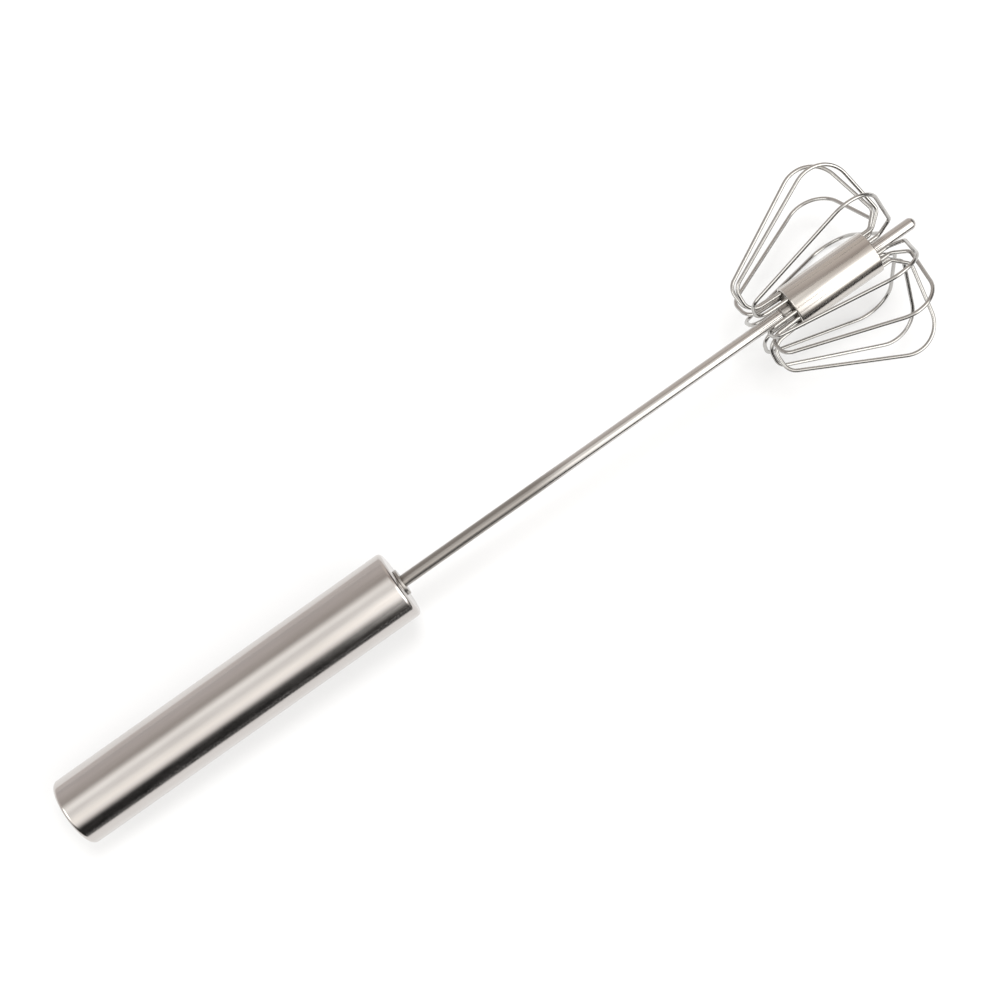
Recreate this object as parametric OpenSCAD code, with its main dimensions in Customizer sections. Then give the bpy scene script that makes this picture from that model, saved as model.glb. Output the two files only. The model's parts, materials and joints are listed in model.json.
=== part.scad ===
// Push-down rotary whisk. Pressing the handle along the shaft drives a twisted
// strip through a nut on the shaft, which spins the wire whisk at the far end,
// and a spring pushes the handle back.
// Every piece is drawn along the tool's own axis, with the butt end of the handle
// at zero and the beater tip upwards. The whole tool is then laid on its side, and
// rests on the rim of the handle and on its lowest wire loops.

/* [Handle] */
// Outside diameter of the handle tube
handle_d = 22; // [18:0.5:27]
// Length of the handle tube
handle_length = 118.7; // [95:0.1:150]
// Sheet thickness of the handle tube
handle_wall = 0.6; // [0.4:0.05:0.9]
// Radius of the rounded edge at both ends of the handle
handle_edge = 1.4; // [1.1:0.1:2.2]
// Thickness of the flange that holds the end cap in the tube
cap_flange_t = 2.2; // [1.5:0.1:3]
// Outside diameter of the end cap's boss, inside the spring
cap_boss_d = 9.6; // [8:0.1:10]
// Length of the end cap's boss
cap_boss_length = 9; // [7:0.5:12]
// Diameter of the plug that grips the twisted strip
anchor_d = 6; // [5:0.1:6.6]
// Diameter of the cross pin through boss, plug and strip
anchor_pin_d = 1.4; // [1:0.1:1.7]

/* [Nose] */
// Diameter of the bushing's collar, seen where the shaft leaves the handle
nose_collar_d = 8.5; // [7.5:0.1:11]
// Thickness of that collar
nose_collar_t = 0.9; // [0.6:0.1:2]
// Diameter of the bushing's barrel, which passes through the nose of the tube
nose_barrel_d = 6.6; // [5.6:0.1:7.2]
// Length of the bushing inside the nose
nose_barrel_length = 6.5; // [4:0.5:9]
// Outside diameter of the ring that locks the bushing
lock_ring_d = 12; // [9:0.5:15]
// Thickness of the lock ring
lock_ring_t = 1.2; // [0.8:0.1:2]

/* [Shaft] */
// Outside diameter of the shaft
shaft_d = 3.8; // [3.2:0.1:4.6]
// Wall of the shaft tube
shaft_wall = 0.4; // [0.3:0.05:0.5]
// Length of shaft between the nose collar and the beater tip
shaft_reach = 185.9; // [150:0.1:225]
// How far the tip stands out past the whisk's sleeve
tip_reach = 16; // [12:0.5:18]
// Length of the tip's seat in the core, in front of the hollow shaft
tip_seat = 4.5; // [3:0.5:8]
// Length of the tip's spigot inside the hollow shaft
spigot_length = 10; // [6:0.5:12]

/* [Drive] */
// Length of the twisted strip that makes one full turn
strip_pitch = 22; // [18:1:30]
// Thickness of the twisted strip
strip_t = 0.8; // [0.6:0.05:1]
// Diameter of the nut that the strip turns
nut_d = 10.4; // [9:0.2:12]
// Length of the nut's slot that follows the strip
nut_slot_length = 5; // [4:0.5:8]
// Length of the nut's socket for the shaft
nut_socket_length = 5; // [4:0.5:8]
// Diameter of the collar that stops the shaft at the bushing
stop_collar_d = 9; // [8:0.2:11]
// Length of the stop collar
stop_collar_length = 3.8; // [3:0.2:6]
// Diameter of the spring wire
spring_wire_d = 1; // [0.8:0.05:1]
// Mean diameter of the spring
spring_d = 12.4; // [12:0.1:14]
// Turns of the spring, ends included
spring_turns = 19; // [14:1:19]
// Turns of the spring that lie closed at each end
spring_closed = 1.5; // [1:0.5:2]
// Thickness of each spring washer
washer_t = 0.8; // [0.6:0.1:1.2]
// Thickness of the nylon thrust washer
thrust_t = 0.6; // [0.5:0.1:1]

/* [Whisk] */
// Diameter over the wire loops
whisk_d = 66.6; // [55:0.1:80]
// Diameter of the loop wire
wire_d = 1.2; // [0.9:0.05:1.5]
// Outside diameter of the sleeve that holds the loops
sleeve_d = 13.7; // [13:0.1:18]
// Length of the sleeve
sleeve_length = 29.2; // [25:0.1:38]
// Wall of the sleeve
sleeve_wall = 0.6; // [0.5:0.05:1]
// Depth of the core below each end of the sleeve
core_inset = 1.2; // [1:0.1:4]
// Length of wire held inside each end of the sleeve
root_depth = 9; // [6:0.5:11]
// Straight wire between the sleeve and the root bend
root_out = 1; // [0.5:0.1:2]
// How far the hooks of the loops reach back from the sleeve
hook_reach = 11.1; // [10:0.1:16]
// Rise from the root of a loop to the knee where its long leg starts
hook_rise = 9.6; // [9.4:0.1:12]
// Outward drift of the wire between the sleeve and its hook
hook_drift = 0.5; // [0.2:0.1:0.8]
// Bend radius where the wire starts to drift outwards
root_bend = 3; // [2:0.5:4]
// Bend radius of the hook and of its knee
hook_bend = 4.4; // [3:0.1:4.5]
// Bend radius of the wide outer end of a loop
outer_bend = 9.4; // [6:0.1:10]
// Bend radius where a loop turns towards the sleeve
front_bend = 2.4; // [1.5:0.1:2.6]
// Straight wire between the sleeve and the first front bend
front_straight = 3.6; // [1.5:0.1:5]
// Rise of the short sloping stretch in front of the sleeve
front_rise = 4.3; // [4:0.1:6]
// Angle between the axis and the front of a loop
front_angle = 78; // [70:1:88]
// Turn of the whisk about its axis, as it lies
whisk_turn = 92.5; // [0:0.5:360]
// Outside diameter of the small collar behind the sleeve
head_collar_d = 6.4; // [5.6:0.1:8]
// How far the small collar stands out of the sleeve
head_collar_out = 3.2; // [2:0.1:6]

/* [Fits] */
// Radial gap of a running fit
run_gap = 0.05; // [0.02:0.01:0.08]
// Radial gap between pieces that are pressed or crimped together
seat_gap = 0.02; // [0.01:0.01:0.04]
// Gap all round the strip in the nut's slot and in the shaft
strip_gap = 0.12; // [0.1:0.01:0.16]
// End gap between neighbouring pieces on the axis
end_gap = 0.05; // [0.03:0.01:0.1]

/* [Hidden] */
$fn = 64;

// How far a cut runs past the face that it opens
past = 1;

// Radii
handle_r = handle_d / 2;
handle_bore_r = handle_r - handle_wall;
cap_face_r = handle_r - handle_edge;
shaft_r = shaft_d / 2;
shaft_bore_r = shaft_r - shaft_wall;
seat_r = shaft_r + seat_gap;
spring_r = spring_d / 2;
wire_r = wire_d / 2;
sleeve_bore_r = sleeve_d / 2 - sleeve_wall;

// The strip fills the shaft's bore, less its gap
strip_w = 2 * sqrt(pow(shaft_bore_r - strip_gap, 2) - pow(strip_t / 2, 2));

// Places along the axis, inside the handle
cap_flange_z = handle_wall + end_gap;
cap_boss_z = cap_flange_z + cap_flange_t;
anchor_pin_z = cap_boss_z + cap_boss_length / 2;
spring_z = cap_boss_z + end_gap + washer_t;
bushing_z = handle_length - nose_barrel_length;
stop_collar_z = bushing_z - 2 * end_gap - stop_collar_length;
nut_z = stop_collar_z - end_gap - nut_socket_length - nut_slot_length;
shaft_z = nut_z + nut_slot_length;
thrust_z = nut_z - end_gap - thrust_t;
lower_washer_z = thrust_z - end_gap - washer_t;
spring_length = lower_washer_z - spring_z;

// The twist is drawn in even steps, counted from the butt end
strip_steps = 24;
strip_step = strip_pitch / strip_steps;
strip_first = ceil((cap_boss_z + end_gap) / strip_step);
strip_last = floor(bushing_z / strip_step);

// Places along the axis, at the whisk
tip_z = handle_length + nose_collar_t + shaft_reach;
sleeve_end_z = tip_z - tip_reach;
sleeve_z = sleeve_end_z - sleeve_length;
core_z = sleeve_z + core_inset;
core_end_z = sleeve_end_z - core_inset;
shaft_end_z = core_end_z - tip_seat;

// Loops: even spacing about the axis, and how far each loop has been bent aside
loop_splay = [0, -9, -6, 3, -9, 4.5, 2.5, -7.4, 2.4, -3];
loop_step = 360 / len(loop_splay);
loop_turn = [for (i = [0:len(loop_splay) - 1]) whisk_turn + i * loop_step + loop_splay[i]];

// Corners of a loop as [radius, place along the axis], from one end to the other
root_r = sleeve_bore_r - run_gap - wire_r;
hook_z = sleeve_z - hook_reach;
front_z = sleeve_end_z + front_straight + front_rise;
front_r = root_r + front_rise;
outer_r = whisk_d / 2 - wire_r;
hook_corner = [root_r + hook_drift, hook_z];
knee = [root_r + hook_rise, hook_z];
front_corner = [front_r, front_z];
front_dir = [sin(front_angle), -cos(front_angle)];
outer_centre_r = outer_r - outer_bend;
front_run = (outer_centre_r - front_r + outer_bend * cos(front_angle)) / sin(front_angle);
outer_centre = front_corner + front_run * front_dir
    - outer_bend * [cos(front_angle), sin(front_angle)];
to_centre = outer_centre - knee;
leg_angle = atan2(to_centre[0], to_centre[1]) + asin(outer_bend / norm(to_centre));
leg_dir = [sin(leg_angle), cos(leg_angle)];
outer_corner = knee + leg_dir * (cross(front_corner - knee, front_dir) / cross(leg_dir, front_dir));
loop_corners = [
    [root_r, sleeve_z + root_depth],
    [root_r, sleeve_z - root_out],
    hook_corner,
    knee,
    outer_corner,
    front_corner,
    [root_r, sleeve_end_z + front_straight],
    [root_r, sleeve_end_z - root_depth]
];
loop_bends = [root_bend, hook_bend, hook_bend, outer_bend, front_bend, front_bend];

// Angle between the rings of a bend, and sides of the wire's section
bend_step = 18;
wire_sides = 10;

// Steps in a turn of the spring, sides of its section, and the rise of its open coils
spring_steps = 12;
spring_sides = 6;
spring_rise = spring_length - spring_wire_d * (1 + 2 * spring_closed);

// The lean that puts the rim of the handle and the lowest loops on the table
lowest_share = max([for (a = loop_turn) cos(a)]);
function loop_drop(lean) = lowest_share * outer_centre[0] * cos(lean) - outer_centre[1] * sin(lean)
    + outer_bend * sqrt(pow(lowest_share * cos(lean), 2) + pow(sin(lean), 2)) + wire_r;
function rim_drop(lean) = cap_face_r * cos(lean) - handle_edge * sin(lean) + handle_edge;
function settle(lean, rounds) = rounds == 0 ? lean
    : settle(lean + asin((loop_drop(lean) - rim_drop(lean)) / outer_centre[1]), rounds - 1);
first_lean = 4;
lean_rounds = 8;
lean = settle(first_lean, lean_rounds);

// The middle of the laid tool's box, which becomes the origin
low_x = -cap_face_r * sin(lean) + handle_edge * cos(lean) - handle_edge;
high_x = (tip_z - shaft_r) * cos(lean) + shaft_r;
high_y = max([for (a = loop_turn) outer_r * sin(a)]) + wire_r;
low_y = min([for (a = loop_turn) outer_r * sin(a)]) - wire_r;

// Colours
steel = [0.78, 0.77, 0.75];
bright_steel = [0.86, 0.86, 0.85];
nylon = [0.9, 0.89, 0.85];

// Lays the tool on its side: its axis points along +X and rises by the lean
module lay_down() {
    translate([-(low_x + high_x) / 2, -(low_y + high_y) / 2, rim_drop(lean)])
        rotate([0, 90 - lean, 0])
            children();
}

// Round bar or tube along the axis
module turned(outer, inner, start, length) {
    translate([0, 0, start])
        difference() {
            cylinder(r = outer, h = length);
            if (inner > 0)
                translate([0, 0, -past])
                    cylinder(r = inner, h = length + 2 * past);
        }
}

// Solid skin over a row of rings that all have the same number of points
module swept(rings) {
    sides = len(rings[0]);
    last = len(rings) - 1;
    walls = [
        for (i = [0:last - 1], k = [0:sides - 1])
            let (a = i * sides + k, b = i * sides + (k + 1) % sides)
                each [[a, b, b + sides], [a, b + sides, a + sides]]
    ];
    first = [for (k = [0:sides - 1]) sides - 1 - k];
    end = [for (k = [0:sides - 1]) last * sides + k];
    polyhedron([for (ring = rings) each ring], concat(walls, [first, end]), convexity = 10);
}

// Square-cornered bar twisted about the axis, in step with the strip at any height.
// Its ends are given as numbers of strip steps.
module twisted_bar(width, thickness, first, last) {
    corners = [[1, -1], [0, -1], [-1, -1], [-1, 1], [0, 1], [1, 1]] / 2;
    swept([
        for (i = [first:last])
            let (turn = i * 360 / strip_steps)
                [for (c = corners)
                    let (x = c[0] * width, y = c[1] * thickness)
                        [x * cos(turn) - y * sin(turn), x * sin(turn) + y * cos(turn), i * strip_step]]
    ]);
}

// Section of a closed tube with rounded ends, as a half outline
module rounded_section(radius, edge, start, length) {
    translate([0, start]) {
        square([radius - edge, length]);
        translate([0, edge])
            square([radius, length - 2 * edge]);
        for (z = [edge, length - edge])
            translate([radius - edge, z])
                circle(r = edge);
    }
}

function unit(angle) = [cos(angle), sin(angle)];
function heading(from, to) = atan2(to[1] - from[1], to[0] - from[0]);
function wrapped(angle) = angle > 180 ? angle - 360 : (angle < -180 ? angle + 360 : angle);

// Round wire along a flat outline of straights joined by bends
module bent_wire(corners, bends, radius, sides) {
    last = len(corners) - 1;
    heads = [for (i = [0:last - 1]) heading(corners[i], corners[i + 1])];
    turns = [for (i = [1:last - 1]) wrapped(heads[i] - heads[i - 1])];
    function ring(at, head) = [
        for (k = [0:sides - 1])
            let (around = -360 * (k + 0.5) / sides, out = radius * cos(around))
                [at[0] - out * sin(head), at[1] + out * cos(head), radius * sin(around)]
    ];
    swept([
        ring(corners[0], heads[0]),
        for (i = [1:last - 1])
            let (turn = turns[i - 1], side = sign(turn), bend = bends[i - 1],
                 centre = corners[i] - bend * tan(abs(turn) / 2) * unit(heads[i - 1])
                     + side * bend * unit(heads[i - 1] + 90),
                 steps = ceil(abs(turn) / bend_step))
                for (j = [0:steps])
                    let (head = heads[i - 1] + turn * j / steps)
                        ring(centre - side * bend * unit(head + 90), head),
        ring(corners[last], heads[last - 1])
    ]);
}

// Height of the spring wire after a number of turns: closed coils at both ends
function spring_height(t) = spring_wire_d * min(t, spring_closed)
    + spring_rise * min(max(t - spring_closed, 0) / (spring_turns - 2 * spring_closed), 1)
    + spring_wire_d * max(t - spring_turns + spring_closed, 0) + spring_wire_d / 2;

// Coil of round wire
module coil(radius, wire_radius, turns, steps, sides) {
    swept([
        for (i = [0:turns * steps])
            let (turn = 360 * i / steps)
                [for (k = [0:sides - 1])
                    let (around = 360 * k / sides, reach = radius + wire_radius * cos(around))
                        [reach * cos(turn), reach * sin(turn),
                         spring_height(i / steps) + wire_radius * sin(around)]]
    ]);
}

// Handle -------------------------------------------------------------------

// Thin drawn tube, rolled in round the end cap and closed at the nose
module handle_tube() {
    color(steel)
        lay_down()
            rotate_extrude()
                difference() {
                    rounded_section(handle_r, handle_edge, 0, handle_length);
                    rounded_section(handle_bore_r, handle_edge - handle_wall, handle_wall,
                        handle_length - 2 * handle_wall);
                    translate([0, -past])
                        square([cap_face_r, handle_wall + 2 * past]);
                    translate([0, handle_length - handle_wall - past])
                        square([nose_barrel_d / 2 + seat_gap, handle_wall + 2 * past]);
                }
}

// Disc that closes the butt end, with a boss for the strip's plug
module end_cap() {
    color(steel)
        lay_down()
            difference() {
                union() {
                    turned(cap_face_r - seat_gap, 0, 0, cap_flange_z + end_gap);
                    turned(handle_bore_r - seat_gap - handle_edge + handle_wall, 0, cap_flange_z, handle_edge);
                    turned(handle_bore_r - seat_gap, 0, handle_edge + end_gap, cap_boss_z - handle_edge - end_gap);
                    turned(cap_boss_d / 2, 0, cap_boss_z - end_gap, cap_boss_length + end_gap);
                }
                turned(anchor_d / 2 + seat_gap, 0, cap_boss_z, cap_boss_length + past);
                translate([-cap_boss_d, 0, anchor_pin_z])
                    rotate([0, 90, 0])
                        cylinder(d = anchor_pin_d + 2 * seat_gap, h = 2 * cap_boss_d);
            }
}

// Plug in the end cap's boss, slotted for the strip
module strip_anchor() {
    color(steel)
        lay_down()
            difference() {
                turned(anchor_d / 2, 0, cap_boss_z + end_gap, cap_boss_length - end_gap);
                twisted_bar(strip_w + 2 * seat_gap, strip_t + 2 * seat_gap, strip_first - 1,
                    strip_first + ceil(cap_boss_length / strip_step) + 1);
                translate([-anchor_d, 0, anchor_pin_z])
                    rotate([0, 90, 0])
                        cylinder(d = anchor_pin_d + 2 * seat_gap, h = 2 * anchor_d);
            }
}

// Cross pin that holds plug and strip in the boss
module anchor_pin() {
    color(bright_steel)
        lay_down()
            translate([-cap_boss_d / 2, 0, anchor_pin_z])
                rotate([0, 90, 0])
                    cylinder(d = anchor_pin_d, h = cap_boss_d);
}

// Twisted strip, fixed to the handle, that turns the nut as the handle moves
module spiral_strip() {
    color(bright_steel)
        lay_down()
            difference() {
                twisted_bar(strip_w, strip_t, strip_first, strip_last);
                translate([-strip_w, 0, anchor_pin_z])
                    rotate([0, 90, 0])
                        cylinder(d = anchor_pin_d + 2 * seat_gap, h = 2 * strip_w);
            }
}

// Washer between the end cap and the spring
module upper_spring_washer() {
    color(bright_steel)
        lay_down()
            turned(spring_r + spring_wire_d, cap_boss_d / 2 + run_gap, cap_boss_z + end_gap, washer_t - end_gap);
}

// Spring that pushes the handle back
module return_spring() {
    color(bright_steel)
        lay_down()
            translate([0, 0, spring_z])
                coil(spring_r, spring_wire_d / 2, spring_turns, spring_steps, spring_sides);
}

// Flanged bushing in the nose, which the shaft runs in
module nose_bushing() {
    color(steel)
        lay_down()
            difference() {
                union() {
                    turned(nose_barrel_d / 2, 0, bushing_z, nose_barrel_length + nose_collar_t);
                    turned(nose_collar_d / 2, 0, handle_length, nose_collar_t);
                }
                turned(shaft_r + run_gap, 0, bushing_z - past, nose_barrel_length + nose_collar_t + 2 * past);
            }
}

// Ring pressed on the bushing behind the nose wall
module bushing_lock_ring() {
    color(bright_steel)
        lay_down()
            turned(lock_ring_d / 2, nose_barrel_d / 2 + seat_gap,
                handle_length - handle_wall - end_gap - lock_ring_t, lock_ring_t);
}

// Sliding seat --------------------------------------------------------------

// Washer that the spring pushes on
module lower_spring_washer() {
    color(bright_steel)
        lay_down()
            turned(spring_r + spring_wire_d, shaft_r, lower_washer_z, washer_t);
}

// Slippery washer between the spring's seat and the turning nut
module thrust_washer() {
    color(nylon)
        lay_down()
            turned(nut_d / 2, shaft_r, thrust_z, thrust_t);
}

// Turning parts ---------------------------------------------------------------

// Nut on the end of the shaft, with a slot that follows the strip
module drive_nut() {
    color(nylon)
        lay_down()
            difference() {
                turned(nut_d / 2, 0, nut_z, nut_slot_length + nut_socket_length);
                turned(seat_r, 0, shaft_z, nut_socket_length + past);
                twisted_bar(strip_w + 2 * strip_gap, strip_t + 2 * strip_gap,
                    floor(nut_z / strip_step) - 1, ceil(shaft_z / strip_step) + 2);
            }
}

// Collar on the shaft that stops against the bushing
module stop_collar() {
    color(steel)
        lay_down()
            turned(stop_collar_d / 2, seat_r, stop_collar_z, stop_collar_length);
}

// Hollow shaft, which takes in the strip as the handle comes down
module shaft_tube() {
    color(steel)
        lay_down()
            turned(shaft_r, shaft_bore_r, shaft_z + end_gap, shaft_end_z - shaft_z - end_gap);
}

// Solid rounded end of the shaft, which stands on the bottom of the bowl
module beater_tip() {
    color(steel)
        lay_down() {
            turned(shaft_bore_r - seat_gap, 0, shaft_end_z - spigot_length, spigot_length + past);
            turned(shaft_r, 0, shaft_end_z + end_gap, tip_z - shaft_r - shaft_end_z - end_gap);
            translate([0, 0, tip_z - shaft_r])
                sphere(r = shaft_r);
        }
}

// Small collar that keeps the core in place on the shaft
module head_collar() {
    color(steel)
        lay_down()
            turned(head_collar_d / 2, seat_r, sleeve_z - head_collar_out, head_collar_out + core_inset - end_gap);
}

// Grooved core that seats the ends of the loops
module whisk_core() {
    color(steel)
        lay_down()
            difference() {
                turned(sleeve_bore_r - seat_gap, seat_r, core_z, core_end_z - core_z);
                for (a = loop_turn)
                    rotate([0, 0, a])
                        translate([root_r, 0, core_z - past]) {
                            cylinder(r = wire_r + run_gap, h = core_end_z - core_z + 2 * past);
                            translate([0, -wire_r - run_gap, 0])
                                cube([2 * wire_r, 2 * (wire_r + run_gap), core_end_z - core_z + 2 * past]);
                        }
            }
}

// Sleeve crimped over the core and the ends of the loops
module whisk_sleeve() {
    color(steel)
        lay_down()
            turned(sleeve_d / 2, sleeve_bore_r, sleeve_z, sleeve_length);
}

// One wire loop, given its number from 1
module whisk_wire(number) {
    color(bright_steel)
        lay_down()
            rotate([0, 0, loop_turn[number - 1]])
                rotate([90, 0, 0])
                    bent_wire(loop_corners, loop_bends, wire_r, wire_sides);
}

handle_tube();
end_cap();
strip_anchor();
anchor_pin();
spiral_strip();
upper_spring_washer();
return_spring();
nose_bushing();
bushing_lock_ring();
lower_spring_washer();
thrust_washer();
drive_nut();
stop_collar();
shaft_tube();
beater_tip();
head_collar();
whisk_core();
whisk_sleeve();
whisk_wire(1);  // whisk_wire_01
whisk_wire(2);  // whisk_wire_02
whisk_wire(3);  // whisk_wire_03
whisk_wire(4);  // whisk_wire_04
whisk_wire(5);  // whisk_wire_05
whisk_wire(6);  // whisk_wire_06
whisk_wire(7);  // whisk_wire_07
whisk_wire(8);  // whisk_wire_08
whisk_wire(9);  // whisk_wire_09
whisk_wire(10);  // whisk_wire_10
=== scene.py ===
"""Looks of the push-down rotary whisk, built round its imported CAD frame.

Turned and bent pieces are made in the tool's own frame: a point is (radius, place
along the axis), with the butt end of the handle at zero and the beater tip highest.
"""
import json
import math

import bmesh
import bpy
from mathutils import Matrix, Vector


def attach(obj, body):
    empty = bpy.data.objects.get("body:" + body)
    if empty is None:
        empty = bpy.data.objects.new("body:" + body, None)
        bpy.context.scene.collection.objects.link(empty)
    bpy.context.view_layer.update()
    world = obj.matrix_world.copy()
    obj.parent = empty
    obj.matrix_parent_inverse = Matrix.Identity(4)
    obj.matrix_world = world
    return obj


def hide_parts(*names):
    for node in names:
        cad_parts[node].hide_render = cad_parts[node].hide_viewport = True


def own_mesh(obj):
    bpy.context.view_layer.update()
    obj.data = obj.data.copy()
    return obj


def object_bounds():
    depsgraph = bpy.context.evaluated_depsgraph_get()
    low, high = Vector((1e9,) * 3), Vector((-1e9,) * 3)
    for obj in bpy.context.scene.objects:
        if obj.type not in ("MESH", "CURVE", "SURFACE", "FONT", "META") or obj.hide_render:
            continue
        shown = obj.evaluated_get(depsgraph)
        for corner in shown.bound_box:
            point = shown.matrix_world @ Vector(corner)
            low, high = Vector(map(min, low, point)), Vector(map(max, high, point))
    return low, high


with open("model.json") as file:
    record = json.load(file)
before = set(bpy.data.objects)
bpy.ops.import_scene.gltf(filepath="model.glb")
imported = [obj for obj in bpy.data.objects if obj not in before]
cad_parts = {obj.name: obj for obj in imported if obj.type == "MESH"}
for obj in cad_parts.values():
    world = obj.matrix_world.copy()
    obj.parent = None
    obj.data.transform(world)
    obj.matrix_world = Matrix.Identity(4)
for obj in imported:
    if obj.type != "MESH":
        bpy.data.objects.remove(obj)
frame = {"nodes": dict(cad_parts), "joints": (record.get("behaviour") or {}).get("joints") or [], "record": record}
cad_low, cad_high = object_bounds()
MM = 0.001

# ---------------------------------------------------------------- tool frame
mounts = {m["name"]: m for m in frame["record"]["mounts"]}
joints = {j["name"]: j for j in frame["joints"]}
BUTT = Vector(mounts["butt"]["pos_m"])
AXIS = -Vector(mounts["butt"]["axis"]).normalized()
SIDE = Vector((0, 1, 0))
DOWN = SIDE.cross(AXIS).normalized()
TOOL = Matrix.Translation(BUTT) @ Matrix((DOWN, SIDE, AXIS)).transposed().to_4x4()
LEAN = math.asin(AXIS.z)
STROKE = joints["handle_push"]["range_m"][1]


def place(node):
    """A CAD node's lowest and highest place along the axis, and its outermost radius."""
    back = TOOL.inverted()
    points = [back @ v.co for v in frame["nodes"][node].data.vertices]
    along = [p.z for p in points]
    return min(along), max(along), max(math.hypot(p.x, p.y) for p in points)


# ------------------------------------------------------------------ materials
CLOUD_SCALE = (40, 90, 90)
SMUDGE_SCALE = (160, 220, 220)
MARK_TINT = (0.25, 0.6)
CLOUD_TINT = (0.05, 0.45)
SMUDGE_SHARE = 0.8
MARK_STRENGTH = 0.5
# Painted shade: the stretch of shaft that slides into the handle is painted this darker colour where its
# reflection is dimmer. It is also made rougher, as rubbed by the nose.
PAINTED_SHADE_COLOUR = (0.33, 0.31, 0.29)
RUBBED_ROUGHER = 0.12
SHADED_STRETCH_FADE = 10 * MM
SHADED_STRETCH_END = place("nose_bushing")[1] + STROKE
NYLON_DARK = (0.70, 0.67, 0.58)
NYLON_LIGHT = (0.84, 0.82, 0.76)
NYLON_GRAIN = (2600, 2600, 2600)
NYLON_CLOUD = (180, 180, 180)
NYLON_ROUGH = (0.38, 0.55)
NYLON_BUMP = 0.00002
SHEET_ROUGH = 0.9


def new_material(name):
    material = bpy.data.materials.new(name)
    material.use_nodes = True
    return material, material.node_tree.nodes, material.node_tree.links


def tool_coordinates(nodes, links, scale):
    """Object coordinates turned so that X runs along the tool's axis, then scaled."""
    where = nodes.new("ShaderNodeTexCoord")
    turn = nodes.new("ShaderNodeMapping")
    turn.inputs["Rotation"].default_value = (0, LEAN, 0)
    stretch = nodes.new("ShaderNodeMapping")
    stretch.inputs["Scale"].default_value = scale
    links.new(where.outputs["Object"], turn.inputs["Vector"])
    links.new(turn.outputs["Vector"], stretch.inputs["Vector"])
    return stretch.outputs["Vector"]


def noise(nodes, links, scale, detail, rough):
    """Noise whose scale is given along the tool's axis and in the two directions across it."""
    vector = tool_coordinates(nodes, links, scale)
    texture = nodes.new("ShaderNodeTexNoise")
    texture.inputs["Scale"].default_value = 1.0
    texture.inputs["Detail"].default_value = detail
    texture.inputs["Roughness"].default_value = rough
    links.new(vector, texture.inputs["Vector"])
    return texture.outputs["Fac"]


def remap(nodes, links, value, low, high, from_low=0.3, from_high=0.7):
    """A value's range, by default the middle of a noise, stretched to low to high."""
    node = nodes.new("ShaderNodeMapRange")
    node.inputs["From Min"].default_value = from_low
    node.inputs["From Max"].default_value = from_high
    node.inputs["To Min"].default_value = low
    node.inputs["To Max"].default_value = high
    links.new(value, node.inputs["Value"])
    return node.outputs["Result"]


# Mask of the painted shade: the stretch of shaft that is painted darker and made rougher.
def shaded_and_rubbed_share(nodes, links, end):
    """1 on the side of the butt, 0 past the place end along the axis, with a soft edge."""
    apart = nodes.new("ShaderNodeSeparateXYZ")
    links.new(tool_coordinates(nodes, links, (1, 1, 1)), apart.inputs[0])
    step = nodes.new("ShaderNodeMapRange")
    step.interpolation_type = "SMOOTHSTEP"
    step.inputs["From Min"].default_value = BUTT.dot(AXIS) + end + SHADED_STRETCH_FADE
    step.inputs["From Max"].default_value = BUTT.dot(AXIS) + end - SHADED_STRETCH_FADE
    links.new(apart.outputs["X"], step.inputs["Value"])
    return step.outputs["Result"]


def metal(name, colour, dark, rough, spread, lines, depth, shade_and_rub_end=None):
    """Worked steel. lines is the scale of its working marks along and across the axis,
    spread the change in roughness from mark to mark, and depth the depth of the marks.
    The last argument is where a stretch ends that another piece has rubbed dull: the stretch is made rougher and
    painted darker, as painted shade."""
    material, nodes, links = new_material(name)
    shader = nodes["Principled BSDF"]
    shader.inputs["Metallic"].default_value = 1.0
    marks = noise(nodes, links, lines, detail=6, rough=0.65)
    cloud = noise(nodes, links, CLOUD_SCALE, detail=3, rough=0.5)
    smudge = noise(nodes, links, SMUDGE_SCALE, detail=5, rough=0.7)
    tint = nodes.new("ShaderNodeMix")
    tint.data_type = "RGBA"
    tint.inputs["A"].default_value = (*dark, 1)
    tint.inputs["B"].default_value = (*colour, 1)
    add = nodes.new("ShaderNodeMath")
    add.operation = "ADD"
    links.new(remap(nodes, links, marks, *MARK_TINT), add.inputs[0])
    links.new(remap(nodes, links, cloud, *CLOUD_TINT), add.inputs[1])
    links.new(add.outputs["Value"], tint.inputs["Factor"])
    rise = nodes.new("ShaderNodeMath")
    rise.operation = "ADD"
    links.new(remap(nodes, links, marks, rough - spread, rough + spread), rise.inputs[0])
    links.new(remap(nodes, links, smudge, 0.0, spread * SMUDGE_SHARE), rise.inputs[1])
    surface, finish = tint.outputs["Result"], rise.outputs["Value"]
    # Painted shade: the stretch is painted darker, and its roughness is raised.
    if shade_and_rub_end is not None:
        share = shaded_and_rubbed_share(nodes, links, shade_and_rub_end)
        painted_shade = nodes.new("ShaderNodeMix")
        painted_shade.data_type = "RGBA"
        painted_shade.inputs["B"].default_value = (*PAINTED_SHADE_COLOUR, 1)
        links.new(share, painted_shade.inputs["Factor"])
        links.new(surface, painted_shade.inputs["A"])
        surface = painted_shade.outputs["Result"]
        coarse = nodes.new("ShaderNodeMath")
        coarse.operation = "MULTIPLY_ADD"
        coarse.inputs[1].default_value = RUBBED_ROUGHER
        links.new(share, coarse.inputs[0])
        links.new(finish, coarse.inputs[2])
        finish = coarse.outputs["Value"]
    links.new(surface, shader.inputs["Base Color"])
    links.new(finish, shader.inputs["Roughness"])
    bump = nodes.new("ShaderNodeBump")
    bump.inputs["Distance"].default_value = depth
    bump.inputs["Strength"].default_value = MARK_STRENGTH
    links.new(marks, bump.inputs["Height"])
    links.new(bump.outputs["Normal"], shader.inputs["Normal"])
    return material


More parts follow.
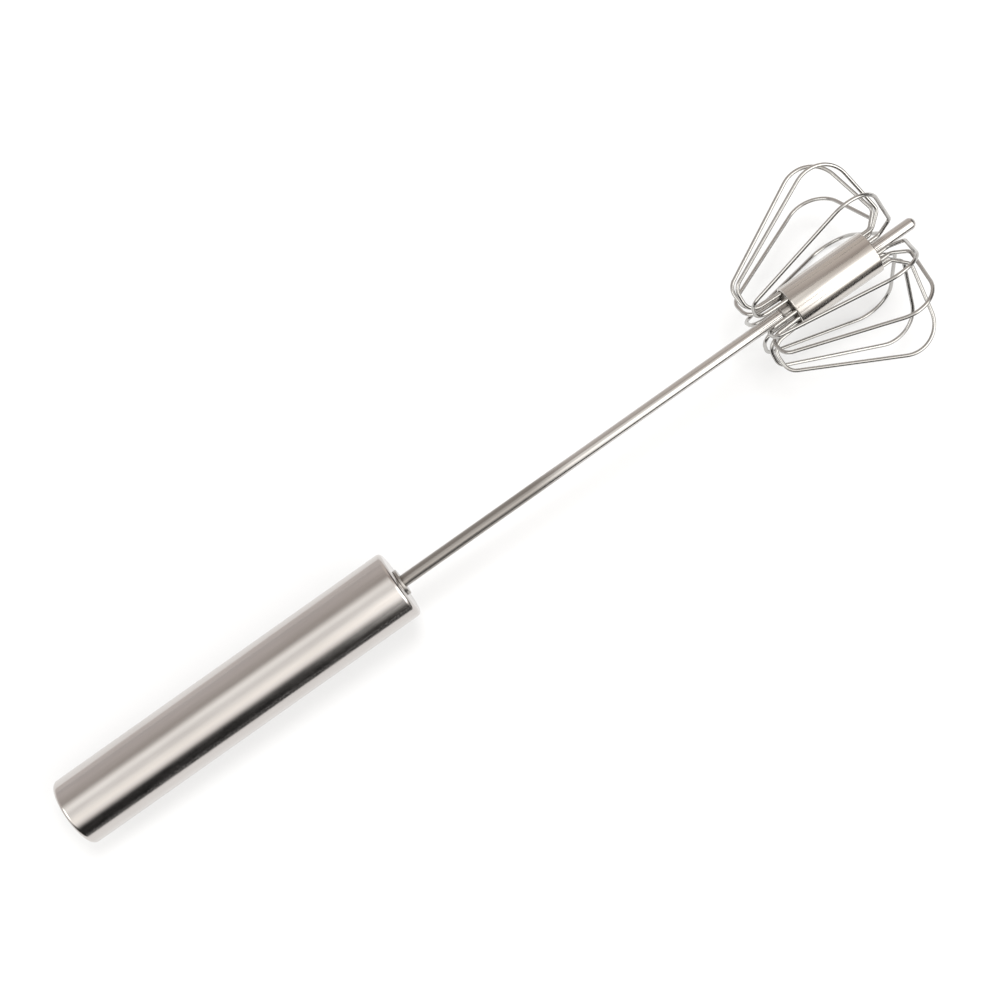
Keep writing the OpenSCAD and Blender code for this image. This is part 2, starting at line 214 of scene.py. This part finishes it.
def moulded_nylon(name):
    """Natural nylon, slightly mottled, with the faint grain of its mould."""
    material, nodes, links = new_material(name)
    shader = nodes["Principled BSDF"]
    grain = noise(nodes, links, NYLON_GRAIN, detail=4, rough=0.6)
    cloud = noise(nodes, links, NYLON_CLOUD, detail=3, rough=0.5)
    tint = nodes.new("ShaderNodeMix")
    tint.data_type = "RGBA"
    tint.inputs["A"].default_value = (*NYLON_DARK, 1)
    tint.inputs["B"].default_value = (*NYLON_LIGHT, 1)
    links.new(cloud, tint.inputs["Factor"])
    links.new(tint.outputs["Result"], shader.inputs["Base Color"])
    links.new(remap(nodes, links, grain, *NYLON_ROUGH), shader.inputs["Roughness"])
    bump = nodes.new("ShaderNodeBump")
    bump.inputs["Distance"].default_value = NYLON_BUMP
    links.new(grain, bump.inputs["Height"])
    links.new(bump.outputs["Normal"], shader.inputs["Normal"])
    return material


def matt_sheet(name, colour, glow):
    """Plain matt surface with an even light of its own, so that shadows on it stay faint."""
    material, nodes, links = new_material(name)
    shader = nodes["Principled BSDF"]
    shader.inputs["Base Color"].default_value = (*colour, 1)
    shader.inputs["Roughness"].default_value = SHEET_ROUGH
    shader.inputs["Specular IOR Level"].default_value = 0.0
    shader.inputs["Emission Color"].default_value = (*glow, 1)
    shader.inputs["Emission Strength"].default_value = 1.0
    return material


HANDLE_STEEL = metal(
    "handle_steel", colour=(0.63, 0.60, 0.58), dark=(0.53, 0.50, 0.48),
    rough=0.16, spread=0.04, lines=(60, 2600, 2600), depth=6e-6)
SLEEVE_STEEL = metal(
    "sleeve_steel", colour=(0.62, 0.59, 0.555), dark=(0.58, 0.545, 0.515),
    rough=0.17, spread=0.015, lines=(30, 900, 900), depth=5e-7)
SHAFT_STEEL = metal(
    "shaft_steel", colour=(0.64, 0.62, 0.60), dark=(0.52, 0.50, 0.48),
    rough=0.17, spread=0.05, lines=(90, 5200, 5200), depth=4e-6, shade_and_rub_end=SHADED_STRETCH_END)
WIRE_STEEL = metal(
    "wire_steel", colour=(0.53, 0.52, 0.50), dark=(0.39, 0.38, 0.37),
    rough=0.14, spread=0.05, lines=(900, 1800, 1800), depth=6e-6)
TURNED_STEEL = metal(
    "turned_steel", colour=(0.44, 0.42, 0.40), dark=(0.32, 0.30, 0.28),
    rough=0.24, spread=0.06, lines=(5200, 160, 160), depth=4e-6)
CORE_STEEL = metal(
    "core_steel", colour=(0.62, 0.60, 0.57), dark=(0.48, 0.46, 0.44),
    rough=0.55, spread=0.06, lines=(5200, 160, 160), depth=4e-6)
SPRING_STEEL = metal(
    "spring_steel", colour=(0.58, 0.57, 0.56), dark=(0.42, 0.41, 0.40),
    rough=0.24, spread=0.06, lines=(700, 900, 900), depth=6e-6)
NYLON = moulded_nylon("natural_nylon")
FLOOR_WHITE = matt_sheet("floor_white", (0.3, 0.3, 0.3), (0.55, 0.55, 0.55))
CARD_BLACK = matt_sheet("card_black", (0.01, 0.01, 0.01), (0.01, 0.01, 0.01))
CARD_GREY = matt_sheet("card_grey", (0.1, 0.1, 0.1), (0.54, 0.50, 0.48))


# --------------------------------------------------------------- mesh helpers
SHARP_ANGLE = math.radians(32)
TURNED_SIDES = 160
OUTER_STEPS = 5
INNER_STEPS = 4


def add_piece(name, mesh_points, faces, material, body, nodes):
    """A mesh piece in the tool's frame, which rides on a body and stands for CAD nodes."""
    mesh = bpy.data.meshes.new(name)
    mesh.from_pydata([tuple(p) for p in mesh_points], [], faces)
    mesh.transform(TOOL)
    work = bmesh.new()
    work.from_mesh(mesh)
    bmesh.ops.recalc_face_normals(work, faces=work.faces)
    for face in work.faces:
        face.smooth = True
    for edge in work.edges:
        edge.smooth = edge.calc_face_angle(0) < SHARP_ANGLE
    work.to_mesh(mesh)
    work.free()
    mesh.materials.append(material)
    piece = bpy.data.objects.new(name, mesh)
    bpy.context.scene.collection.objects.link(piece)
    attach(piece, body)
    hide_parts(*nodes)
    return piece


def turned(name, outline, material, body, nodes, around=TURNED_SIDES):
    """A turned piece: its outline, as (radius, place along the axis), spun about the axis.
    An outline whose ends lie on the axis is solid, and any other is closed into a ring."""
    solid = outline[0][0] == 0 and outline[-1][0] == 0
    inner = outline[1:-1] if solid else outline
    points = [
        (r * math.cos(2 * math.pi * k / around), r * math.sin(2 * math.pi * k / around), a)
        for r, a in inner
        for k in range(around)
    ]
    rows = len(inner)
    faces = []
    for i in range(rows - 1 if solid else rows):
        low, high = i * around, (i + 1) % rows * around
        for k in range(around):
            after = (k + 1) % around
            faces.append((low + k, low + after, high + after, high + k))
    if solid:
        for row, (_, a) in ((0, outline[0]), (rows - 1, outline[-1])):
            centre = len(points)
            points.append((0, 0, a))
            for k in range(around):
                faces.append((row * around + k, row * around + (k + 1) % around, centre))
    return add_piece(name, points, faces, material, body, nodes)


def rounding(r, a, radius, first, last, steps):
    """Points of an arc in an outline. Angles in degrees: 0 is outwards, 90 to the tip."""
    turns = [math.radians(first + (last - first) * i / steps) for i in range(steps + 1)]
    return [(r + radius * math.cos(t), a + radius * math.sin(t)) for t in turns]


def tube_outline(inner, outer, low, high, edge, inner_edge=None):
    """Outline of a ring or tube with its outer and inner edges rounded."""
    bore_edge = edge if inner_edge is None else inner_edge
    return (
        rounding(outer - edge, low + edge, edge, -90, 0, OUTER_STEPS)
        + rounding(outer - edge, high - edge, edge, 0, 90, OUTER_STEPS)
        + rounding(inner + bore_edge, high - bore_edge, bore_edge, 90, 180, INNER_STEPS)
        + rounding(inner + bore_edge, low + bore_edge, bore_edge, 180, 270, INNER_STEPS)
    )


def swept(name, rings, material, body, nodes):
    """A skin over a row of rings with the same number of points, closed at both ends."""
    sides = len(rings[0])
    points = [p for ring in rings for p in ring]
    faces = []
    for low in range(0, len(points) - sides, sides):
        high = low + sides
        for k in range(sides):
            after = (k + 1) % sides
            faces.append((low + k, low + after, high + after, high + k))
    faces.append(tuple(range(sides)))
    faces.append(tuple(range(len(points) - sides, len(points))))
    return add_piece(name, points, faces, material, body, nodes)


# --------------------------------------------------------------------- handle
HANDLE_EDGE = 1.4 * MM
HANDLE_WALL = 0.6 * MM
HANDLE_LIP = 0.12 * MM
HANDLE_STEPS = 12
HANDLE_INNER_STEPS = 6
LIP_STEPS = 3
NOSE_BORE = 1.95 * MM
NOSE_BARREL = 3.3 * MM
NOSE_HOLE = 3.32 * MM
NOSE_BEVEL = 0.22 * MM
SPRING_WIRE = 0.5 * MM
SPRING_MEAN = 6.2 * MM
SPRING_TURNS = 19
SPRING_CLOSED = 1.5
SPRING_PLAY = 0.1 * MM
SPRING_STEPS = 30
SPRING_SIDES = 10
STRIP_PITCH = 22 * MM
STRIP_THICK = 0.8 * MM
STRIP_EDGE = 0.12 * MM
STRIP_EDGE_STEPS = 2
STRIP_STEPS = 72


def build_handle():
    _, length, radius = place("handle_tube")
    edge, wall, lip = HANDLE_EDGE, HANDLE_WALL, HANDLE_LIP
    face = radius - edge
    outline = (
        rounding(face + lip, lip, lip, 180, 270, LIP_STEPS)
        + rounding(face, edge, edge, -90, 0, HANDLE_STEPS)[1:]
        + rounding(face, length - edge, edge, 0, 90, HANDLE_STEPS)
        + [(NOSE_HOLE, length), (NOSE_HOLE, length - wall)]
        + rounding(face, length - edge, edge - wall, 90, 0, HANDLE_INNER_STEPS)
        + rounding(face, edge, edge - wall, 0, -90, HANDLE_INNER_STEPS)
        + [(face, wall)]
    )
    turned("handle_shell", outline, HANDLE_STEEL, "handle", ["handle_tube"])


def build_nose():
    low, high, radius = place("nose_bushing")
    _, nose, _ = place("handle_tube")
    bevel = NOSE_BEVEL
    outline = [
        (NOSE_BORE, low), (NOSE_BARREL, low), (NOSE_BARREL, nose), (radius, nose + bevel / 2),
        *rounding(radius - bevel, high - bevel, bevel, 0, 90, OUTER_STEPS),
        *rounding(NOSE_BORE + bevel, high - bevel, bevel, 90, 180, INNER_STEPS),
    ]
    turned("nose_collar", outline, TURNED_STEEL, "handle", ["nose_bushing"])


def build_spring():
    low, high = place("upper_spring_washer")[1], place("lower_spring_washer")[0]
    wire, turns, closed, sides = SPRING_WIRE, SPRING_TURNS, SPRING_CLOSED, SPRING_SIDES
    rise = high - low - 2 * wire * (1 + 2 * closed) - SPRING_PLAY
    rings = []
    for i in range(turns * SPRING_STEPS + 1):
        t = i / SPRING_STEPS
        height = 2 * wire * (min(t, closed) + max(t - turns + closed, 0)) + wire
        height += rise * min(max(t - closed, 0) / (turns - 2 * closed), 1)
        turn = 2 * math.pi * t
        ring = []
        for k in range(sides):
            around = 2 * math.pi * k / sides
            reach = SPRING_MEAN + wire * math.cos(around)
            along = low + height + wire * math.sin(around)
            ring.append((reach * math.cos(turn), reach * math.sin(turn), along))
        rings.append(ring)
    spring = swept("coil_spring", rings, SPRING_STEEL, "handle", ["return_spring"])
    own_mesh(spring)


def build_strip():
    low, high, corner = place("spiral_strip")
    edge = STRIP_EDGE
    half_t = STRIP_THICK / 2
    half_w = math.sqrt(corner ** 2 - half_t ** 2)
    section = []
    for sx, sy, first in ((1, 1, 0), (-1, 1, 90), (-1, -1, 180), (1, -1, 270)):
        for step in range(STRIP_EDGE_STEPS + 1):
            t = math.radians(first + 90 * step / STRIP_EDGE_STEPS)
            x = sx * (half_w - edge) + edge * math.cos(t)
            section.append((x, sy * (half_t - edge) + edge * math.sin(t)))
    count = int((high - low) / STRIP_PITCH * STRIP_STEPS)
    rings = []
    for i in range(count + 1):
        a = low + (high - low) * i / count
        turn = 2 * math.pi * a / STRIP_PITCH
        rings.append([
            (x * math.cos(turn) - y * math.sin(turn), x * math.sin(turn) + y * math.cos(turn), a)
            for x, y in section
        ])
    swept("twisted_strip", rings, SPRING_STEEL, "handle", ["spiral_strip"])


# ---------------------------------------------------------------------- shaft
SHAFT_BORE = 1.5 * MM
SHAFT_EDGE = 0.1 * MM
SHAFT_SIDES = 72
SPIGOT = 1.48 * MM
TIP_JOINT = 0.05 * MM
TIP_STEPS = 14
TIP_LAST_ANGLE = 84
SLEEVE_WALL = 0.6 * MM
SLEEVE_EDGE = 0.42 * MM
SLEEVE_INNER_EDGE = 0.15 * MM
HEAD_COLLAR_BORE = 1.92 * MM
HEAD_COLLAR_EDGE = 0.25 * MM
HEAD_COLLAR_SIDES = 96


def build_shaft():
    low, high, radius = place("shaft_tube")
    turned("shaft", tube_outline(SHAFT_BORE, radius, low, high, SHAFT_EDGE), SHAFT_STEEL,
           "whisk_shaft", ["shaft_tube"], around=SHAFT_SIDES)
    joint = high + TIP_JOINT
    low, high, radius = place("beater_tip")
    outline = [(0, low), (SPIGOT, low), (SPIGOT, joint), (radius, joint)]
    outline += rounding(0, high - radius, radius, 0, TIP_LAST_ANGLE, TIP_STEPS)
    outline += [(0, high)]
    turned("rounded_tip", outline, SHAFT_STEEL,
           "whisk_shaft", ["beater_tip"], around=SHAFT_SIDES)


def build_head():
    low, high, radius = place("whisk_sleeve")
    outline = tube_outline(radius - SLEEVE_WALL, radius, low, high, SLEEVE_EDGE, SLEEVE_INNER_EDGE)
    turned("sleeve", outline, SLEEVE_STEEL, "whisk_shaft", ["whisk_sleeve"])
    low, high, radius = place("head_collar")
    turned("lock_collar", tube_outline(HEAD_COLLAR_BORE, radius, low, high, HEAD_COLLAR_EDGE),
           TURNED_STEEL, "whisk_shaft", ["head_collar"], around=HEAD_COLLAR_SIDES)


# ---------------------------------------------------------------------- loops
WHISK_TURN = 92.5
LOOP_SPLAY = (0, -9, -6, 3, -9, 4.5, 2.5, -7.4, 2.4, -3)
WIRE_RADIUS = 0.6 * MM
WIRE_SIDES = 20
BEND_STEP = 5
ROOT_GAP = 0.05 * MM
ROOT_DEPTH = 9 * MM
ROOT_OUT = 1 * MM
HOOK_REACH = 11.1 * MM
HOOK_RISE = 9.6 * MM
HOOK_DRIFT = 0.5 * MM
FRONT_STRAIGHT = 3.6 * MM
FRONT_RISE = 4.3 * MM
FRONT_ANGLE = math.radians(78)
ROOT_BEND, HOOK_BEND, OUTER_BEND, FRONT_BEND = 3 * MM, 4.4 * MM, 9.4 * MM, 2.4 * MM


def cross(u, v):
    return u.x * v.y - u.y * v.x


def loop_outline():
    """Corners of a loop as (radius, place along the axis), and the bend radius at each."""
    sleeve_low, sleeve_high, sleeve_radius = place("whisk_sleeve")
    root = sleeve_radius - SLEEVE_WALL - ROOT_GAP - WIRE_RADIUS
    outer = place("whisk_wire_01")[2] - WIRE_RADIUS
    hook_a = sleeve_low - HOOK_REACH
    knee = Vector((root + HOOK_RISE, hook_a))
    front = Vector((root + FRONT_RISE, sleeve_high + FRONT_STRAIGHT + FRONT_RISE))
    front_dir = Vector((math.sin(FRONT_ANGLE), -math.cos(FRONT_ANGLE)))
    bend_up = OUTER_BEND * Vector((math.cos(FRONT_ANGLE), math.sin(FRONT_ANGLE)))
    centre = front + (outer - OUTER_BEND - front.x + bend_up.x) / front_dir.x * front_dir - bend_up
    away = centre - knee
    leg = math.atan2(away.x, away.y) + math.asin(OUTER_BEND / away.length)
    leg_dir = Vector((math.sin(leg), math.cos(leg)))
    shoulder = knee + leg_dir * (cross(front - knee, front_dir) / cross(leg_dir, front_dir))
    corners = [
        Vector((root, sleeve_low + ROOT_DEPTH)), Vector((root, sleeve_low - ROOT_OUT)),
        Vector((root + HOOK_DRIFT, hook_a)), knee, shoulder, front,
        Vector((root, sleeve_high + FRONT_STRAIGHT)), Vector((root, sleeve_high - ROOT_DEPTH)),
    ]
    return corners, [ROOT_BEND, HOOK_BEND, HOOK_BEND, OUTER_BEND, FRONT_BEND, FRONT_BEND]


def bent_path(corners, bends):
    """Points and headings along straights joined by bends."""
    heads = [math.atan2(*reversed(b - a)) for a, b in zip(corners, corners[1:])]
    path = [(corners[0], heads[0])]
    for i, bend in enumerate(bends, 1):
        turn = math.remainder(heads[i] - heads[i - 1], 2 * math.pi)
        side = math.copysign(1, turn)
        along = Vector((math.cos(heads[i - 1]), math.sin(heads[i - 1])))
        across = Vector((-along.y, along.x)) * side
        centre = corners[i] - along * bend * math.tan(abs(turn) / 2) + across * bend
        steps = math.ceil(math.degrees(abs(turn)) / BEND_STEP)
        for j in range(steps + 1):
            head = heads[i - 1] + turn * j / steps
            path.append((centre + side * bend * Vector((math.sin(head), -math.cos(head))), head))
    path.append((corners[-1], heads[-1]))
    return path


def build_wires():
    path = bent_path(*loop_outline())
    count = len(LOOP_SPLAY)
    for number, splay in enumerate(LOOP_SPLAY):
        turn = math.radians(WHISK_TURN + number * 360 / count + splay)
        out = Vector((math.cos(turn), math.sin(turn), 0))
        flat = Vector((-math.sin(turn), math.cos(turn), 0))
        up = Vector((0, 0, 1))
        rings = []
        for at, head in path:
            middle = out * at.x + up * at.y
            normal = -math.sin(head) * out + math.cos(head) * up
            rings.append([
                middle + WIRE_RADIUS * (math.cos(t) * normal + math.sin(t) * flat)
                for t in (2 * math.pi * k / WIRE_SIDES for k in range(WIRE_SIDES))
            ])
        name = f"whisk_wire_{number + 1:02d}"
        swept(f"loop_{number + 1:02d}", rings, WIRE_STEEL, "whisk_shaft", [name])


# --------------------------------------------------- CAD pieces that stay as they are
CAD_MATERIALS = {
    HANDLE_STEEL: ["end_cap"],
    TURNED_STEEL: ["strip_anchor", "stop_collar"],
    CORE_STEEL: ["whisk_core"],
    SPRING_STEEL: ["anchor_pin", "upper_spring_washer", "lower_spring_washer", "bushing_lock_ring"],
    NYLON: ["drive_nut", "thrust_washer"],
}


def dress_cad_nodes():
    for material, names in CAD_MATERIALS.items():
        for name in names:
            materials = frame["nodes"][name].data.materials
            materials.clear()
            materials.append(material)


# ---------------------------------------------------------------------- stage
def stage_sheet(name, low, high, lift, material):
    z = cad_low[2] + lift
    mesh = bpy.data.meshes.new(name)
    corners = [(low[0], low[1], z), (high[0], low[1], z), (high[0], high[1], z), (low[0], high[1], z)]
    mesh.from_pydata(corners, [], [(0, 1, 2, 3)])
    mesh.materials.append(material)
    sheet = bpy.data.objects.new(name, mesh)
    bpy.context.scene.collection.objects.link(sheet)
    return sheet


FLOOR_REACH = 3.0
FLOOR_LIFT = -0.05 * MM
CARD_LENGTH, CARD_WIDTH = 0.6, 1.2
CARD_LIFT = 0.1 * MM
CARDS = (("black_card", -1, 0.11, CARD_BLACK), ("grey_card", 1, 0.06, CARD_GREY))
KEY_AT = Vector((0.2, 0.34, 1.2))
KEY_SIZE = 0.5
KEY_ENERGY = 11


def build_floor():
    corner = (FLOOR_REACH, FLOOR_REACH)
    stage_sheet("floor", (-FLOOR_REACH, -FLOOR_REACH), corner, FLOOR_LIFT, FLOOR_WHITE)


def build_cards():
    """Matt cards beside the tool, which only its steel sees: a black one and a grey one."""
    for name, side, start, material in CARDS:
        y = sorted((side * start, side * (start + CARD_WIDTH)))
        card = stage_sheet(name, (-CARD_LENGTH, y[0]), (CARD_LENGTH, y[1]), CARD_LIFT, material)
        card.visible_camera = card.visible_diffuse = card.visible_shadow = False


def build_key_light():
    """Only draws the soft shadow: the room below is what the steel reflects."""
    data = bpy.data.lights.new("key", "AREA")
    data.shape = "DISK"
    data.size = KEY_SIZE
    data.energy = KEY_ENERGY
    light = bpy.data.objects.new("key", data)
    light.location = KEY_AT
    light.rotation_euler = (-KEY_AT).to_track_quat("-Z", "Y").to_euler()
    light.visible_glossy = False
    bpy.context.scene.collection.objects.link(light)


# Light from the room, by the angle round the X axis in degrees: 0 is overhead, and angles
# above 0 are on the -Y side. BACK_ROOM lies towards -X and FRONT_ROOM towards +X, and
# ROOM_BLEND is the X of the directions between which the one passes into the other.
BACK_ROOM = (
    (-92, (0.60, 0.57, 0.56)), (-67, (0.62, 0.575, 0.555)), (-54, (0.55, 0.51, 0.485)),
    (-38, (0.45, 0.415, 0.39)), (-30, (0.80, 0.78, 0.75)), (-20, (1.28, 1.26, 1.23)),
    (-13, (1.25, 1.24, 1.21)), (-4, (1.0, 0.985, 0.965)), (6, (1.0, 0.99, 0.97)),
    (18, (1.30, 1.27, 1.22)), (30, (1.42, 1.38, 1.32)), (40, (1.20, 1.17, 1.14)),
    (46, (0.80, 0.78, 0.76)), (54, (0.18, 0.175, 0.17)), (59, (0.015, 0.015, 0.015)),
    (100, (0.01, 0.01, 0.01)),
)
FRONT_ROOM = (
    (-92, (0.72, 0.66, 0.61)), (-58, (0.73, 0.67, 0.62)), (-44, (0.64, 0.58, 0.545)),
    (-33, (0.46, 0.405, 0.37)), (-27, (0.50, 0.45, 0.42)), (-18, (0.76, 0.71, 0.66)),
    (-9, (0.86, 0.81, 0.77)), (-3, (1.0, 0.95, 0.91)), (6, (1.50, 1.49, 1.46)),
    (13, (3.0, 2.97, 2.9)), (64, (3.0, 2.97, 2.9)), (70, (1.30, 1.28, 1.24)),
    (78, (0.35, 0.33, 0.31)), (84, (0.16, 0.15, 0.14)), (100, (0.12, 0.11, 0.105)),
)
ROOM_BLEND = (-0.12, 0.2)
# Round patches in that room: direction, angles where the patch starts to fade and has
# faded out, and light. Two dark ones at the ends of the tool and a bright one above the butt.
PATCHES = (
    ((-1, 0, 0.05), 13, 20, (0.05, 0.05, 0.05)),
    ((1, 0, 0.05), 28, 46, (0.14, 0.13, 0.125)),
    ((-0.78, 0.1, 0.62), 15, 22, (2.6, 2.6, 2.55)),
)
BACKGROUND_WHITE = (1.0, 1.0, 1.0)


def build_studio():
    """The room that the steel reflects. The camera itself sees plain white."""
    world = bpy.data.worlds.new("studio")
    world.use_nodes = True
    bpy.context.scene.world = world
    nodes, links = world.node_tree.nodes, world.node_tree.links
    where = nodes.new("ShaderNodeTexCoord").outputs["Generated"]
    apart = nodes.new("ShaderNodeSeparateXYZ")
    links.new(where, apart.inputs[0])
    minus_y = nodes.new("ShaderNodeMath")
    minus_y.operation = "MULTIPLY"
    minus_y.inputs[1].default_value = -1
    links.new(apart.outputs["Y"], minus_y.inputs[0])
    angle = nodes.new("ShaderNodeMath")
    angle.operation = "ARCTAN2"
    links.new(minus_y.outputs["Value"], angle.inputs[0])
    links.new(apart.outputs["Z"], angle.inputs[1])
    turn = remap(nodes, links, angle.outputs["Value"], 0, 1, -math.pi, math.pi)

    def room(stops):
        ramp = nodes.new("ShaderNodeValToRGB")
        elements = ramp.color_ramp.elements
        elements.remove(elements[1])
        for i, (degrees, colour) in enumerate(stops):
            stop = elements[0] if i == 0 else elements.new(1)
            stop.position = (degrees + 180) / 360
            stop.color = (*colour, 1)
        links.new(turn, ramp.inputs["Fac"])
        return ramp.outputs["Color"]

    def smooth(value, start, end):
        step = nodes.new("ShaderNodeMapRange")
        step.interpolation_type = "SMOOTHSTEP"
        step.inputs["From Min"].default_value = start
        step.inputs["From Max"].default_value = end
        links.new(value, step.inputs["Value"])
        return step.outputs["Result"]

    def towards(direction, inner, outer):
        """1 within the angle inner of a direction, 0 beyond outer, in degrees."""
        dot = nodes.new("ShaderNodeVectorMath")
        dot.operation = "DOT_PRODUCT"
        dot.inputs[1].default_value = Vector(direction).normalized()
        links.new(where, dot.inputs[0])
        return smooth(dot.outputs["Value"], math.cos(math.radians(outer)), math.cos(math.radians(inner)))

    def blend(share, first, second):
        mix = nodes.new("ShaderNodeMix")
        mix.data_type = "RGBA"
        links.new(share, mix.inputs["Factor"])
        for socket, value in (("A", first), ("B", second)):
            if isinstance(value, tuple):
                mix.inputs[socket].default_value = (*value, 1)
            else:
                links.new(value, mix.inputs[socket])
        return mix.outputs["Result"]

    light = blend(smooth(apart.outputs["X"], *ROOM_BLEND), room(BACK_ROOM), room(FRONT_ROOM))
    for direction, inner, outer, colour in PATCHES:
        light = blend(towards(direction, inner, outer), light, colour)
    seen = nodes.new("ShaderNodeLightPath")
    light = blend(seen.outputs["Is Camera Ray"], light, BACKGROUND_WHITE)
    links.new(light, nodes["Background"].inputs["Color"])


# --------------------------------------------------------------------- camera
CAMERA_ALONG = 157 * MM
CAMERA_DISTANCE = 542.4 * MM
CAMERA_ASIDE = 3.15 * MM
CAMERA_ROUND = math.radians(96.2)
CAMERA_CLIMB = math.radians(35.21)
CAMERA_LENS = 65.7
CAMERA_SENSOR = 36


def build_camera():
    """Straight over the tool's axis, from slightly to the front, turned so that the tool
    climbs from the lower left of the frame to the upper right."""
    out = math.cos(CAMERA_ROUND) * SIDE - math.sin(CAMERA_ROUND) * DOWN
    across = (-out).cross(AXIS)
    right = math.cos(CAMERA_CLIMB) * AXIS + math.sin(CAMERA_CLIMB) * across
    up = math.sin(CAMERA_CLIMB) * AXIS - math.cos(CAMERA_CLIMB) * across
    place_at = BUTT + AXIS * CAMERA_ALONG + out * CAMERA_DISTANCE - across * CAMERA_ASIDE
    data = bpy.data.cameras.new("camera")
    data.lens = CAMERA_LENS
    data.sensor_width = CAMERA_SENSOR
    camera = bpy.data.objects.new("camera", data)
    turn = Matrix((right, up, out)).transposed().to_4x4()
    camera.matrix_world = Matrix.Translation(place_at) @ turn
    bpy.context.scene.collection.objects.link(camera)
    bpy.context.scene.camera = camera


build_handle()
build_nose()
build_spring()
build_strip()
build_shaft()
build_head()
build_wires()
dress_cad_nodes()
build_floor()
build_cards()
build_key_light()
build_studio()
build_camera()
bpy.context.scene.view_settings.view_transform = "Standard"
